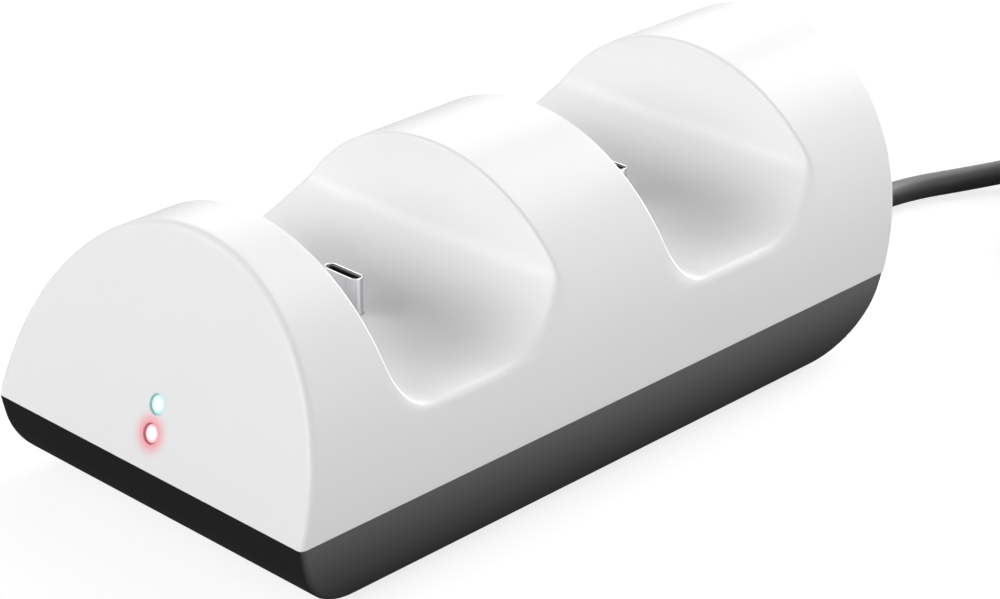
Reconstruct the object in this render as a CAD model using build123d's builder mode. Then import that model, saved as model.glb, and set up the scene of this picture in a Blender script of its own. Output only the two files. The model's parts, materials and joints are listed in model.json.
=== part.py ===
from build123d import *
import os
from math import cos, pi, radians, sin, sqrt, tan

# A desk dock that charges two game controllers side by side.
# Millimetres, +Z up, the front faces -Y. The origin lies on the surface under the feet,
# below the middle of the case.

os.makedirs("parts", exist_ok=True)

# Case
dock_width = 75.0
front_lobe = 24.2
pocket_span = 39.6
middle_lobe = 24.7
rear_lobe = 13.2
face_lean = 19.3
tray_depth = 13.7
chin_angle = 11.3
chin_round = 12.4
heel_round = 16.5
edge_round = 1.0
rear_edge_round = 0.5
shell_wall = 1.8
lip_height = 2.0
lip_thickness = 0.8
lip_gap = 0.2

# Pockets
pocket_floor = 13.5
pocket_corner = 7.2
pocket_edge_round = 0.7
ramp_start = 21.2
ramp_angle = 25.0
ramp_round = 22.0
scoop_round = 8.0

# Upright plugs
plug_setback = 19.8
plug_width = 8.25
plug_thickness = 2.4
plug_wall = 0.25
plug_exposed = 6.65
plug_root = 6.0
plug_gap = 0.15
insert_recess = 0.25
slot_width = 6.8
slot_thickness = 1.1
slot_depth = 5.6
contact_count = 6
contact_pitch = 1.0
contact_width = 0.4
contact_thickness = 0.15
contact_length = 4.2

# Plug holders under the pocket floors
holder_width = 14.0
holder_depth = 7.0
ear_reach = 6.0
ear_thickness = 2.0
ear_boss_radius = 2.4

# Feet
foot_radius = 5.0
foot_proud = 1.0
foot_recess = 1.0
foot_gap = 0.1
foot_inset = 13.5
foot_setback = 30.0

# Screws
case_screw_inset = 12.5
case_screw_front = 18.4
case_screw_rear = 14.3
case_screw_radius = 1.4
case_screw_head_radius = 2.7
case_screw_head_height = 1.8
case_screw_length = 12.0
case_screw_web = 3.5
case_boss_radius = 3.6
small_screw_radius = 0.9
small_screw_head_radius = 1.7
small_screw_head_height = 1.2
small_screw_length = 5.0
screw_gap = 0.1

# Main board
board_width = 46.0
board_thickness = 1.6
board_margin = 7.0
board_post_height = 3.0
board_post_radius = 3.0
board_hole_inset = 4.0
riser_width = 12.0
riser_thickness = 1.2
chip_side = 5.0
chip_height = 0.9
inductor_side = 6.0
inductor_height = 3.0
header_width = 7.0
header_depth = 5.0
header_height = 5.5
header_across = 9.0

# Lights in the front face
upper_light_height = 10.3
lower_light_height = 5.7
light_radius = 1.7
light_gap = 0.05
light_recess = 0.35
pipe_flange_radius = 2.2
pipe_flange_thickness = 0.8
pipe_length = 5.0
led_side = 2.2
led_height = 0.9
led_board_width = 24.0
led_board_height = 12.0
led_board_thickness = 1.2
led_post_across = 9.0
led_post_radius = 2.2

# Cord, its outlet and its inside end
cord_diameter = 4.8
port_radius = 4.8
port_depth = 12.0
port_gap = 0.1
relief_radius = 3.3
relief_tip_radius = 2.8
relief_length = 14.0
relief_flange_radius = 4.4
relief_floor_gap = 0.4
relief_flange_thickness = 1.6
relief_groove_count = 4
relief_groove_width = 1.0
relief_groove_depth = 0.5
inner_cord_length = 6.0
clamp_thickness = 2.2
clamp_width = 5.0
clamp_gap = 0.05
clamp_screw_across = 6.5
clamp_post_radius = 2.4
lead_radius = 0.65
lead_spread = 0.9
lead_bend = 1.2

# Free cord beyond the sleeve, its coil, tie and plug
arc_share = 0.45
cord_first_run = 12.0
cord_route = [
    (0.0, 103.0, 3.2),
    (0.3, 119.0, 2.45),
    (6.5, 132.5, 2.6),
    (12.8, 142.2, 3.9),
    (18.5, 149.8, 3.9),
]
coil_radius = 26.4
coil_rings = 3
coil_layers = 2
coil_lead = 18.0
coil_slack = 0.15
coil_edge_round = 1.8
tie_width = 9.0
tie_thickness = 1.2
tie_gap = 0.15
cord_end_first_run = 8.0
cord_end_route = [
    (17.0, 0.3, 6.2),
    (26.0, 0.7, 4.1),
    (34.0, 1.2, 4.1),
]
usb_body_width = 15.4
usb_body_height = 8.2
usb_body_length = 25.0
usb_body_round = 3.2
usb_neck_length = 7.0
usb_neck_radius = 3.6
usb_shell_width = 12.0
usb_shell_height = 4.5
usb_shell_length = 12.0
usb_shell_wall = 0.35
usb_shell_round = 0.65
usb_window = 2.3
usb_window_spacing = 5.2
usb_window_reach = 6.6
usb_end_round = 1.2
usb_tongue_thickness = 1.9
usb_tongue_recess = 0.6

# Places that follow from the sizes above
lean = tan(radians(face_lean))
chin = tan(radians(chin_angle))
arch_radius = dock_width / 2
seam_length = front_lobe + 2 * pocket_span + middle_lobe + rear_lobe
seam_z = foot_proud + tray_depth
overshoot = dock_width / 4
rear_edge_loss = rear_edge_round * (lean + sqrt(1 + lean**2) - 1)
overall_length = seam_length + lean * arch_radius - rear_edge_loss
front_y = -overall_length / 2
rear_y = front_y + seam_length
tray_wall = shell_wall + lip_gap + lip_thickness
tray_floor_z = foot_proud + tray_wall

pocket_starts = [front_lobe, front_lobe + pocket_span + middle_lobe]
pocket_floor_z = seam_z + pocket_floor
ramp = tan(radians(ramp_angle))
ramp_top_z = pocket_floor_z + ramp * (pocket_span - ramp_start)
plug_names = ["front", "rear"]
plug_ys = [front_y + start + plug_setback for start in pocket_starts]
floor_under_z = pocket_floor_z - shell_wall
plug_tip_z = pocket_floor_z + plug_exposed
plug_base_z = floor_under_z - plug_root
plug_length = plug_tip_z - plug_base_z
ear_across = holder_width / 2 + ear_reach / 2
ear_top_z = plug_base_z + ear_thickness
holder_spots = [(side * ear_across, y) for y in plug_ys for side in (-1, 1)]

board_under_z = tray_floor_z + board_post_height
board_top_z = board_under_z + board_thickness
board_front_y = plug_ys[0] - board_margin
board_rear_y = plug_ys[1] + board_margin
board_length = board_rear_y - board_front_y
board_middle_y = (board_front_y + board_rear_y) / 2
board_spots = [
    (side * (board_width / 2 - board_hole_inset), y)
    for y in (board_front_y + board_hole_inset, board_rear_y - board_hole_inset)
    for side in (-1, 1)
]

case_screw_across = arch_radius - case_screw_inset
case_screw_ys = [front_y + case_screw_front, rear_y - case_screw_rear]
case_spots = [(side * case_screw_across, y) for y in case_screw_ys for side in (-1, 1)]
case_seat_z = seam_z - case_screw_web
foot_across = arch_radius - foot_inset
foot_ys = {"front": front_y + foot_setback, "rear": rear_y - foot_setback}

cord_radius = cord_diameter / 2
cord_z = tray_floor_z + relief_flange_radius + relief_floor_gap
outlet_y = rear_y - lean * (seam_z - cord_z)
port_y = outlet_y - port_depth
relief_end_y = outlet_y + relief_length
inner_cord_start_y = port_y - relief_flange_thickness
inner_cord_end_y = inner_cord_start_y - inner_cord_length
clamp_y = inner_cord_start_y - inner_cord_length / 2
clamp_spots = [(side * clamp_screw_across, clamp_y) for side in (-1, 1)]


def leaning(distance, z):
    """Point of a side view that lies a distance behind the leaning front face."""
    return (front_y + distance + lean * (z - seam_z), z)


def save(name, piece):
    """Label a finished piece and write it under its own name."""
    piece.label = name
    export_step(piece, f"parts/{name}.step")


def arch_section(inset):
    """Half disc above the seam, drawn across the dock."""
    with BuildSketch(Plane.XZ) as section:
        with Locations((0, seam_z)):
            Circle(arch_radius - inset)
            Rectangle(2 * dock_width, dock_width, align=(Align.CENTER, Align.MAX), mode=Mode.SUBTRACT)
    return section.sketch


def lobe_profile(inset):
    """Side view of the shell: leaning ends, and each pocket cut from the top."""
    top = seam_z + arch_radius + overshoot
    bottom = seam_z - overshoot
    with BuildSketch(Plane.YZ) as profile:
        with BuildLine():
            Polyline(
                leaning(0, bottom),
                leaning(0, top),
                leaning(seam_length, top),
                leaning(seam_length, bottom),
                close=True,
            )
        make_face()
        for start in pocket_starts:
            with BuildLine():
                walls = FilletPolyline(
                    (front_y + start, top),
                    (front_y + start, pocket_floor_z),
                    (front_y + start + ramp_start, pocket_floor_z),
                    (front_y + start + pocket_span, ramp_top_z),
                    (front_y + start + pocket_span, top),
                    radius=[pocket_corner, ramp_round, scoop_round],
                )
                Line(walls @ 1, walls @ 0)
            make_face(mode=Mode.SUBTRACT)
        if inset > 0:
            offset(amount=-inset, kind=Kind.INTERSECTION)
    return profile.sketch


def lobed_form(inset):
    """Arched, pocketed form of the shell, set in from the outside by a wall."""
    with BuildPart() as form:
        extrude(arch_section(inset), amount=overall_length, both=True)
        extrude(lobe_profile(inset), amount=dock_width, both=True, mode=Mode.INTERSECT)
    return form.part


def rim_edges(form):
    """Edges of a form that run over the arch, above the seam."""
    rims = form.edges().filter_by(Axis.X, reverse=True)
    return rims.filter_by_position(Axis.Z, seam_z + edge_round, seam_z + dock_width)


def tray_section(inset):
    """The arch's circle carried on below the seam and cut flat at the underside."""
    with BuildSketch(Plane.XZ) as section:
        with Locations((0, seam_z)):
            Circle(arch_radius - inset)
            Rectangle(2 * dock_width, dock_width, align=(Align.CENTER, Align.MIN), mode=Mode.SUBTRACT)
        with Locations((0, foot_proud + inset)):
            Rectangle(2 * dock_width, dock_width, align=(Align.CENTER, Align.MAX), mode=Mode.SUBTRACT)
    return section.sketch


def tray_profile(inset):
    """Side view of the tray: a drawn-in chin in front and a rounded heel behind."""
    top = seam_z + overshoot
    with BuildSketch(Plane.YZ) as profile:
        with BuildLine():
            hull = FilletPolyline(
                (front_y - chin * overshoot, top),
                (front_y + chin * tray_depth, foot_proud),
                (rear_y - lean * tray_depth, foot_proud),
                (rear_y + lean * overshoot, top),
                radius=[chin_round, heel_round],
            )
            Line(hull @ 1, hull @ 0)
        make_face()
        if inset > 0:
            offset(amount=-inset, kind=Kind.INTERSECTION)
    return profile.sketch


def tray_form(inset):
    """Hull form of the tray, set in from the outside by a wall."""
    with BuildPart() as form:
        extrude(tray_section(inset), amount=overall_length, both=True)
        extrude(tray_profile(inset), amount=dock_width, both=True, mode=Mode.INTERSECT)
    return form.part


def posts(spots, radius, low, high):
    """Round posts between two heights, in the part being built."""
    with Locations(*[(x, y, low) for x, y in spots]):
        Cylinder(radius, high - low, align=(Align.CENTER, Align.CENTER, Align.MIN))


def holes(spots, radius, low, high):
    """Round holes between two heights, in the part being built."""
    with Locations(*[(x, y, low) for x, y in spots]):
        Cylinder(radius, high - low, align=(Align.CENTER, Align.CENTER, Align.MIN), mode=Mode.SUBTRACT)


def screws(seats, head_radius, head_height, shank_radius, length):
    """Pan-head screws, each on a plane under its head, with a cross recess in the head."""
    recess = head_radius / 4
    for seat in seats:
        with BuildSketch(seat) as shank:
            Circle(shank_radius)
        extrude(shank.sketch, amount=length)
        with BuildSketch(seat) as head:
            Circle(head_radius)
        extrude(head.sketch, amount=-head_height)
        with BuildSketch(seat.offset(-head_height)) as cross:
            Rectangle(head_radius, recess)
            Rectangle(recess, head_radius)
        extrude(cross.sketch, amount=head_height / 2, mode=Mode.SUBTRACT)


def small_screws(seats):
    """Small screws of one size that hold the boards, holders and clamp."""
    screws(
        seats,
        small_screw_head_radius,
        small_screw_head_height,
        small_screw_radius,
        small_screw_length,
    )


def upward(spots, z):
    """Planes at a height, facing up."""
    return [Plane((x, y, z)) for x, y in spots]


def downward(spots, z):
    """Planes at a height, facing down."""
    return [Plane((x, y, z), x_dir=(1, 0, 0), z_dir=(0, 0, -1)) for x, y in spots]


def plug_outline(y, z, inset):
    """Round-ended outline of an upright plug at a height."""
    with BuildSketch(Plane((0, y, z))) as outline:
        SlotOverall(plug_width - 2 * inset, plug_thickness - 2 * inset)
    return outline.sketch


def face_plane(height, depth=0.0):
    """Plane on the leaning front face at a height over the seam, facing out, or behind it."""
    out = Vector(0, -cos(radians(face_lean)), sin(radians(face_lean)))
    on_face = Vector(0, front_y + lean * height, seam_z + height)
    return Plane(on_face - out * depth, x_dir=(1, 0, 0), z_dir=out)


# Depths behind the front face of what carries the lights
flange_back = shell_wall + pipe_flange_thickness
pipe_back = flange_back + pipe_length
led_board_face = pipe_back + led_height
lights_middle = (upper_light_height + lower_light_height) / 2
led_plane = face_plane(lights_middle)
led_spots = [(-led_post_across, 0), (led_post_across, 0)]
light_heights = {"upper": upper_light_height, "lower": lower_light_height}

# White shell over everything
shell_cavity = lobed_form(shell_wall)
boss_limit = lobed_form(shell_wall / 2)

with BuildPart() as shell_bosses:
    posts(case_spots, case_boss_radius, seam_z, seam_z + arch_radius)
    posts(holder_spots, ear_boss_radius, ear_top_z, pocket_floor_z)
    for spot in led_spots:
        with BuildSketch(led_plane.offset(-led_board_face)) as led_post:
            with Locations(spot):
                Circle(led_post_radius)
        extrude(led_post.sketch, amount=led_board_face)
    add(boss_limit, mode=Mode.INTERSECT)

with BuildPart() as top_shell:
    extrude(arch_section(0), amount=overall_length, both=True)
    extrude(lobe_profile(0), amount=dock_width, both=True, mode=Mode.INTERSECT)
    fillet(rim_edges(top_shell).sort_by(Axis.Y)[0], radius=edge_round)
    fillet(rim_edges(top_shell).sort_by(Axis.Y)[-1], radius=rear_edge_round)
    pocket_rims = rim_edges(top_shell).filter_by_position(
        Axis.Y,
        front_y + pocket_starts[0] - edge_round,
        rear_y - rear_lobe + edge_round,
    )
    fillet(pocket_rims, radius=pocket_edge_round)
    add(shell_cavity, mode=Mode.SUBTRACT)
    add(shell_bosses.part)
    holes(case_spots, case_screw_radius + screw_gap, seam_z, case_seat_z + case_screw_length + screw_gap)
    holes(
        holder_spots,
        small_screw_radius + screw_gap,
        ear_top_z,
        plug_base_z + small_screw_length + screw_gap,
    )
    for y in plug_ys:
        extrude(plug_outline(y, floor_under_z, -plug_gap), amount=plug_tip_z - floor_under_z, mode=Mode.SUBTRACT)
    for height in light_heights.values():
        with BuildSketch(face_plane(height)) as light_hole:
            Circle(light_radius + light_gap)
        extrude(light_hole.sketch, amount=-shell_wall, mode=Mode.SUBTRACT)
    for spot in led_spots:
        with BuildSketch(led_plane.offset(-led_board_face)) as led_pilot:
            with Locations(spot):
                Circle(small_screw_radius + screw_gap)
        extrude(
            led_pilot.sketch,
            amount=small_screw_length - led_board_thickness + screw_gap,
            mode=Mode.SUBTRACT,
        )
save("top_shell", top_shell.part)

# Dark tray with its lip, screw columns, board posts, cord port and foot recesses
tray_cavity = tray_form(tray_wall)
column_limit = tray_form(tray_wall / 2)
lip_outside = lobed_form(shell_wall + lip_gap)
lip_inside = lobed_form(tray_wall)

with BuildPart() as lip:
    add(lip_outside)
    add(lip_inside, mode=Mode.SUBTRACT)
    with Locations((0, 0, seam_z)):
        Box(
            2 * dock_width,
            2 * overall_length,
            lip_height,
            align=(Align.CENTER, Align.CENTER, Align.MIN),
            mode=Mode.INTERSECT,
        )

with BuildPart() as tray_posts:
    posts(case_spots, case_boss_radius, foot_proud, seam_z)
    posts(board_spots, board_post_radius, foot_proud, board_under_z)
    posts(clamp_spots, clamp_post_radius, foot_proud, cord_z)
    with BuildSketch(Plane.XZ.offset(-port_y)) as port:
        with Locations((0, cord_z)):
            Circle(port_radius)
    extrude(port.sketch, amount=-port_depth)
    add(column_limit, mode=Mode.INTERSECT)

with BuildPart() as base_tray:
    extrude(tray_section(0), amount=overall_length, both=True)
    extrude(tray_profile(0), amount=dock_width, both=True, mode=Mode.INTERSECT)
    hull_rims = base_tray.edges().filter_by(Axis.X, reverse=True)
    fillet(hull_rims.filter_by_position(Axis.Z, 0, seam_z - edge_round), radius=edge_round)
    add(tray_cavity, mode=Mode.SUBTRACT)
    add(tray_posts.part)
    add(lip.part)
    holes(case_spots, case_screw_head_radius + screw_gap, 0, case_seat_z)
    holes(case_spots, case_screw_radius + screw_gap, case_seat_z, seam_z)
    holes(
        board_spots,
        small_screw_radius + screw_gap,
        board_top_z - small_screw_length - screw_gap,
        board_under_z,
    )
    holes(
        clamp_spots,
        small_screw_radius + screw_gap,
        cord_z + cord_radius + clamp_thickness - small_screw_length - screw_gap,
        cord_z,
    )
    holes(
        [(side * foot_across, y) for y in foot_ys.values() for side in (-1, 1)],
        foot_radius + foot_gap,
        0,
        foot_proud + foot_recess,
    )
    with BuildSketch(Plane.XZ.offset(-port_y)) as outlet:
        with Locations((0, cord_z)):
            Circle(relief_radius + port_gap)
    extrude(outlet.sketch, amount=-port_depth - tray_depth, mode=Mode.SUBTRACT)
save("base_tray", base_tray.part)

# Rubber feet, each pressed into a recess of the tray
for end, foot_y in foot_ys.items():
    for side, across in (("left", -foot_across), ("right", foot_across)):
        with BuildPart() as foot:
            with Locations((across, foot_y, 0)):
                Cylinder(foot_radius, foot_proud + foot_recess, align=(Align.CENTER, Align.CENTER, Align.MIN))
            fillet(foot.edges().sort_by(Axis.Z)[0], radius=foot_proud / 2)
        save(f"{end}_{side}_foot", foot.part)

# Screws that close the case from below
with BuildPart() as case_screws:
    screws(
        upward(case_spots, case_seat_z),
        case_screw_head_radius,
        case_screw_head_height,
        case_screw_radius,
        case_screw_length,
    )
save("case_screws", case_screws.part)

# Plugs, their mouldings, contacts, holders and upright boards
for name, y in zip(plug_names, plug_ys):
    with BuildPart() as plug_shell:
        extrude(plug_outline(y, plug_base_z, 0), amount=plug_length)
        tip_edges = plug_shell.edges().group_by(Axis.Z)[-1]
        fillet(tip_edges, radius=plug_wall / 2)
        extrude(plug_outline(y, plug_base_z, plug_wall), amount=plug_length, mode=Mode.SUBTRACT)
    save(f"{name}_plug_shell", plug_shell.part)

    with BuildPart() as plug_insert:
        extrude(plug_outline(y, plug_base_z, plug_wall), amount=plug_length - insert_recess)
        with BuildSketch(Plane((0, y, plug_tip_z - insert_recess))) as slot:
            SlotOverall(slot_width, slot_thickness)
        extrude(slot.sketch, amount=-slot_depth, mode=Mode.SUBTRACT)
    save(f"{name}_plug_insert", plug_insert.part)

    with BuildPart() as plug_contacts:
        contact_row = slot_thickness / 2 - contact_thickness / 2
        with Locations((0, y, plug_tip_z - insert_recess - slot_depth)):
            with GridLocations(contact_pitch, 2 * contact_row, contact_count, 2):
                Box(
                    contact_width,
                    contact_thickness,
                    contact_length,
                    align=(Align.CENTER, Align.CENTER, Align.MIN),
                )
    save(f"{name}_plug_contacts", plug_contacts.part)

    with BuildPart() as plug_holder:
        with Locations((0, y, plug_base_z)):
            Box(
                holder_width,
                holder_depth,
                plug_root,
                align=(Align.CENTER, Align.CENTER, Align.MIN),
            )
            Box(
                holder_width + 2 * ear_reach,
                holder_depth,
                ear_thickness,
                align=(Align.CENTER, Align.CENTER, Align.MIN),
            )
        fillet(plug_holder.edges().filter_by(Axis.Z), radius=edge_round)
        extrude(plug_outline(y, plug_base_z, -plug_gap), amount=plug_root, mode=Mode.SUBTRACT)
        holes(
            [(-ear_across, y), (ear_across, y)],
            small_screw_radius + screw_gap,
            plug_base_z,
            ear_top_z,
        )
    save(f"{name}_plug_holder", plug_holder.part)

    with BuildPart() as riser_board:
        with Locations((0, y, board_top_z)):
            Box(
                riser_width,
                riser_thickness,
                plug_base_z - board_top_z,
                align=(Align.CENTER, Align.CENTER, Align.MIN),
            )
    save(f"{name}_riser_board", riser_board.part)

with BuildPart() as holder_screws:
    small_screws(upward(holder_spots, plug_base_z))
save("holder_screws", holder_screws.part)

# Charging board on its posts, with its larger parts
with BuildPart() as main_board:
    with Locations((0, board_middle_y, board_under_z)):
        Box(board_width, board_length, board_thickness, align=(Align.CENTER, Align.CENTER, Align.MIN))
    fillet(main_board.edges().filter_by(Axis.Z), radius=board_post_radius)
    holes(board_spots, small_screw_radius + screw_gap, board_under_z, board_top_z)
save("main_board", main_board.part)

with BuildPart() as board_screws:
    small_screws(downward(board_spots, board_top_z))
save("board_screws", board_screws.part)

with BuildPart() as charge_chips:
    chip_step = 2 * chip_side
    with Locations((0, plug_ys[0] + chip_step, board_top_z), (0, plug_ys[1] - chip_step, board_top_z)):
        Box(chip_side, chip_side, chip_height, align=(Align.CENTER, Align.CENTER, Align.MIN))
save("charge_chips", charge_chips.part)

with BuildPart() as inductors:
    with Locations((0, board_middle_y, board_top_z)):
        with GridLocations(3 * inductor_side, inductor_side, 2, 1):
            Box(inductor_side, inductor_side, inductor_height, align=(Align.CENTER, Align.CENTER, Align.MIN))
    fillet(inductors.edges().filter_by(Axis.Z), radius=inductor_side / 6)
save("inductors", inductors.part)

header_y = board_rear_y - header_depth / 2
with BuildPart() as cord_header:
    with Locations((header_across, header_y, board_top_z)):
        Box(header_width, header_depth, header_height, align=(Align.CENTER, Align.CENTER, Align.MIN))
save("cord_header", cord_header.part)

# Lights: a clear pipe through the face for each, over an emitter on a leaning board
for name, height in light_heights.items():
    face = face_plane(height)
    with BuildPart() as light_pipe:
        with BuildSketch(Plane(face.origin, x_dir=face.x_dir, z_dir=face.x_dir.cross(face.z_dir))) as half:
            with BuildLine():
                Polyline(
                    (0, -light_recess),
                    (0, -pipe_back),
                    (light_radius, -pipe_back),
                    (light_radius, -flange_back),
                    (pipe_flange_radius, -flange_back),
                    (pipe_flange_radius, -shell_wall),
                    (light_radius, -shell_wall),
                    (light_radius, -light_recess),
                    close=True,
                )
            make_face()
        revolve(half.sketch, axis=Axis(face.origin, face.z_dir))
    save(f"{name}_light_pipe", light_pipe.part)

    with BuildPart() as led:
        with BuildSketch(face_plane(height).offset(-led_board_face)) as emitter:
            Rectangle(led_side, led_side)
        extrude(emitter.sketch, amount=led_height)
    save(f"{name}_led", led.part)

with BuildPart() as led_board:
    with BuildSketch(led_plane.offset(-led_board_face)) as board_outline:
        RectangleRounded(led_board_width, led_board_height, edge_round)
        with Locations(*led_spots):
            Circle(small_screw_radius + screw_gap, mode=Mode.SUBTRACT)
    extrude(board_outline.sketch, amount=-led_board_thickness)
save("led_board", led_board.part)

with BuildPart() as led_screws:
    board_back = led_plane.offset(-led_board_face - led_board_thickness)
    small_screws(
        [Plane(board_back.from_local_coords(spot), board_back.x_dir, board_back.z_dir) for spot in led_spots]
    )
save("led_screws", led_screws.part)

# Strain relief: a flange inside the port, a neck through the wall and a grooved sleeve
with BuildPart() as strain_relief:
    with BuildSketch(Plane.YZ) as relief_half:
        with BuildLine():
            Polyline(
                (inner_cord_start_y, cord_z),
                (inner_cord_start_y, cord_z + relief_flange_radius),
                (port_y, cord_z + relief_flange_radius),
                (port_y, cord_z + relief_radius),
                (outlet_y, cord_z + relief_radius),
                (relief_end_y, cord_z + relief_tip_radius),
                (relief_end_y, cord_z),
                close=True,
            )
        make_face()
    relief_axis = Axis((0, 0, cord_z), (0, 1, 0))
    revolve(relief_half.sketch, axis=relief_axis)
    groove_pitch = relief_length / (relief_groove_count + 1)
    taper = (relief_radius - relief_tip_radius) / relief_length
    for k in range(1, relief_groove_count + 1):
        groove_y = outlet_y + k * groove_pitch
        with BuildSketch(Plane.XZ.offset(-groove_y)) as groove:
            with Locations((0, cord_z)):
                Circle(relief_radius)
                Circle(relief_radius - taper * k * groove_pitch - relief_groove_depth, mode=Mode.SUBTRACT)
        extrude(groove.sketch, amount=-relief_groove_width, mode=Mode.SUBTRACT)
save("strain_relief", strain_relief.part)

# Inside end of the cord, its clamp and its two leads to the header
with BuildPart() as inner_cord:
    with BuildSketch(Plane.XZ.offset(-inner_cord_start_y)) as jacket:
        with Locations((0, cord_z)):
            Circle(cord_radius)
    extrude(jacket.sketch, amount=inner_cord_length)
save("inner_cord", inner_cord.part)

clamp_length = 2 * (clamp_screw_across + clamp_post_radius)
with BuildPart() as cord_clamp:
    with Locations((0, clamp_y, cord_z)):
        Box(
            clamp_length,
            clamp_width,
            cord_radius + clamp_thickness,
            align=(Align.CENTER, Align.CENTER, Align.MIN),
        )
    with BuildSketch(Plane.XZ.offset(-clamp_y)) as saddle:
        with Locations((0, cord_z)):
            Circle(cord_radius + clamp_gap)
    extrude(saddle.sketch, amount=clamp_width, both=True, mode=Mode.SUBTRACT)
    holes(clamp_spots, small_screw_radius + screw_gap, cord_z, cord_z + cord_radius + clamp_thickness)
save("cord_clamp", cord_clamp.part)

with BuildPart() as clamp_screws:
    small_screws(downward(clamp_spots, cord_z + cord_radius + clamp_thickness))
save("clamp_screws", clamp_screws.part)

lead_z = board_top_z + header_height / 2
for name, rise in (("red_lead", lead_spread), ("black_lead", -lead_spread)):
    lead_start = Vector(0, inner_cord_end_y, cord_z + rise)
    lead_stop = Vector(header_across, board_rear_y, lead_z + rise)
    with BuildPart() as lead:
        with BuildLine() as lead_path:
            FilletPolyline(
                lead_start,
                lead_start - Vector(0, lead_bend, 0),
                lead_stop + Vector(0, lead_bend, 0),
                lead_stop,
                radius=lead_bend,
            )
        with BuildSketch(Plane(lead_start, z_dir=(0, -1, 0))) as lead_section:
            Circle(lead_radius)
        sweep(lead_section.sketch, path=lead_path.wire())
    save(name, lead.part)


# Free cord: straight runs joined by the widest arcs that the runs allow
def cord_arcs(points):
    """Radius at each inner point of a route: as wide as its two runs allow."""
    radii = []
    for before, here, after in zip(points, points[1:], points[2:]):
        run_in = here - before
        run_out = after - here
        turn = radians(run_in.get_angle(run_out))
        radii.append(arc_share * min(run_in.length, run_out.length) / tan(turn / 2))
    return radii


def cord_tube(name, points):
    """Round tube along a route, with its radii and volume printed for checking."""
    radii = cord_arcs(points)
    with BuildPart() as tube:
        with BuildLine() as path:
            FilletPolyline(*points, radius=radii)
        with BuildSketch(Plane(points[0], z_dir=points[1] - points[0])) as section:
            Circle(cord_radius)
        sweep(section.sketch, path=path.wire())
    length = path.wire().length
    print(name, "radii", [round(r, 1) for r in radii], "length", round(length, 1))
    filled = tube.part.volume / (pi * cord_radius**2 * length)
    print(name, "volume over section times length", round(filled, 4))
    save(name, tube.part)
    return length


cord_points = [
    Vector(0, relief_end_y, cord_z),
    Vector(0, relief_end_y + cord_first_run, cord_z),
    *[Vector(*point) for point in cord_route],
]
visible_length = cord_tube("cord", cord_points)

# Coil: the turns' outer shape, with the two straight lengths that leave it on a tangent
last_run = cord_points[-1] - cord_points[-2]
heading = Vector(last_run.X, last_run.Y, 0).normalized()
beside = Vector(heading.Y, -heading.X, 0)
coil_entry = cord_points[-1]
coil_half_width = coil_rings * cord_diameter / 2
coil_outer_radius = coil_radius + coil_half_width - cord_radius
coil_height = coil_layers * cord_diameter
coil_low_z = coil_entry.Z - cord_radius
coil_touch = coil_entry + heading * coil_lead
coil_centre = coil_touch + beside * coil_outer_radius
leaving = Vector(0, -1, 0)
leaving_side = Vector(1, 0, 0)
coil_last_touch = coil_centre + leaving_side * coil_outer_radius + Vector(0, 0, coil_height - cord_diameter)
coil_exit = coil_last_touch + leaving * coil_lead

with BuildPart() as cord_coil:
    with BuildSketch(Plane((coil_centre.X, coil_centre.Y, coil_low_z - coil_slack))) as turns:
        Circle(coil_radius + coil_half_width + coil_slack)
        Circle(coil_radius - coil_half_width - coil_slack, mode=Mode.SUBTRACT)
    extrude(turns.sketch, amount=coil_height + 2 * coil_slack)
    fillet(cord_coil.edges().filter_by(GeomType.CIRCLE), radius=coil_edge_round)
    with BuildSketch(Plane(coil_entry, z_dir=heading)) as entry_lead:
        Circle(cord_radius)
    extrude(entry_lead.sketch, amount=coil_lead)
    with BuildSketch(Plane(coil_exit, z_dir=-leaving)) as exit_lead:
        Circle(cord_radius)
    extrude(exit_lead.sketch, amount=coil_lead)
save("cord_coil", cord_coil.part)

with BuildPart() as cord_tie:
    tie_middle = coil_centre + heading * coil_radius
    tie_plane = Plane(
        (tie_middle.X, tie_middle.Y, coil_low_z + coil_height / 2),
        x_dir=heading,
        z_dir=beside,
    )
    with BuildSketch(tie_plane) as band:
        opening = 2 * (coil_half_width + coil_slack + tie_gap)
        height = coil_height + 2 * (coil_slack + tie_gap)
        sweep_room = (tie_width / 2) ** 2 / (coil_radius - coil_half_width)
        RectangleRounded(opening + 2 * tie_thickness + sweep_room, height + 2 * tie_thickness, cord_radius)
        RectangleRounded(opening + sweep_room, height, cord_radius / 2, mode=Mode.SUBTRACT)
    extrude(band.sketch, amount=tie_width / 2, both=True)
save("cord_tie", cord_tie.part)

end_points = [coil_exit, coil_exit + leaving * cord_end_first_run]
for along, aside, z in cord_end_route:
    end_ground = coil_exit + leaving * along + leaving_side * aside
    end_points.append(Vector(end_ground.X, end_ground.Y, z))
end_length = cord_tube("cord_end", end_points)
last_turn = heading.get_angle(leaving) / 360
coil_turned = coil_rings * coil_layers * coil_radius - (1 - last_turn) * coil_outer_radius
coil_length = 2 * pi * coil_turned + 2 * coil_lead
print("cord length in all", round(visible_length + coil_length + end_length, 1))

# Plug on the cord's far end
usb_root = end_points[-1]
usb_axis = (end_points[-1] - end_points[-2]).normalized()
usb_plane = Plane(usb_root, x_dir=Vector(usb_axis.Y, -usb_axis.X, 0), z_dir=usb_axis)

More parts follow.
